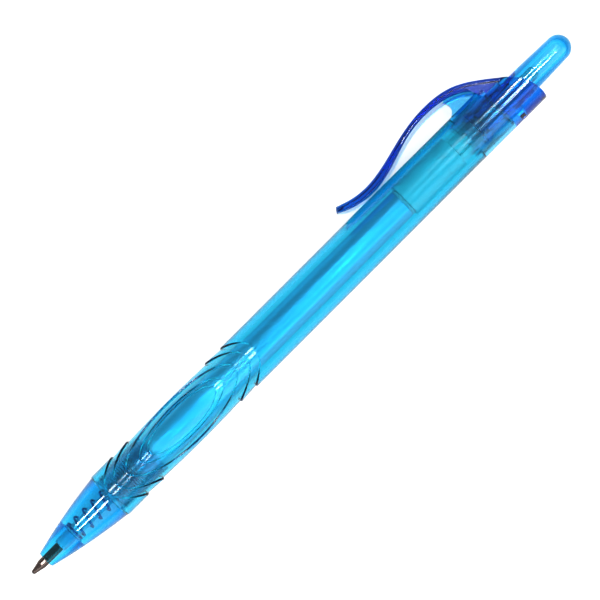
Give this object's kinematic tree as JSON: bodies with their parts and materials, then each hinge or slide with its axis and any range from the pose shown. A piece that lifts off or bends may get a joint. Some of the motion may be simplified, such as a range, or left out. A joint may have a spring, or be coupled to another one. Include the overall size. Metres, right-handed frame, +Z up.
{
  "type": "retractable gel pen",
  "caption": "Retractable click pen with a translucent barrel, sculpted grip, cap with a moulded clip, spring-loaded refill and turning cam.",
  "frame": {"origin": "centre of the pen's footprint, on the table that it lies on", "axes": "+X along the pen from the writing ball to the push button, +Y to the clip's side, +Z up"},
  "size_m": [0.1414, 0.0148, 0.01],
  "materials": {
    "nose_plastic": "clear glossy tint",
    "barrel_plastic": "frosted translucent tint",
    "cap_plastic": "glossy translucent tint",
    "sleeve_plastic": "glossy translucent tint",
    "button_plastic": "clear glossy tint",
    "rotor_plastic": "satin",
    "spring_steel": "drawn wire",
    "ball_metal": "ground",
    "tip_metal": "bright nickel silver",
    "holder_plastic": "satin",
    "refill_metal": "satin",
    "ink": "wet gel",
    "grease": "clear grease",
    "plug_plastic": "satin"
  },
  "bodies": {
    "housing": {"barrel": "barrel_plastic", "collar_clip": "cap_plastic", "cam_sleeve": "sleeve_plastic"},
    "nose": {"nose_cone": "nose_plastic"},
    "button": {"push_button": "button_plastic"},
    "refill": {"writing_ball": "ball_metal", "metal_tip": "tip_metal", "tip_holder": "holder_plastic", "refill_tube": "refill_metal", "gel_ink": "ink", "ink_follower": "grease", "rear_plug": "plug_plastic", "return_spring": "spring_steel"},
    "rotor": {"cam_rotor": "rotor_plastic"}
  },
  "joints": [
    {"name": "button_slide", "type": "slide", "parent": "housing", "child": "button", "axis": [1, 0, 0], "range_m": [-0.001, 0.005], "stiffness_N_per_m": 150},
    {"name": "refill_slide", "type": "slide", "parent": "housing", "child": "refill", "axis": [1, 0, 0], "range_m": [-0.001, 0.005], "deforming": ["return_spring"]},
    {"name": "rotor_turn", "type": "hinge", "parent": "refill", "child": "rotor", "pos_m": [0.0463, -0.00242, 0.005], "axis": [1, 0, 0], "range_deg": [-12, 60]},
    {"name": "nose_unscrew", "type": "slide", "parent": "housing", "child": "nose", "axis": [-1, 0, 0], "range_m": [0, 0.013]}
  ],
  "couplings": [
    {"joint": "refill_slide", "follows": "button_slide", "ratio": 1},
    {"joint": "rotor_turn", "follows": "button_slide", "rad_per_m": 209.44}
  ]
}
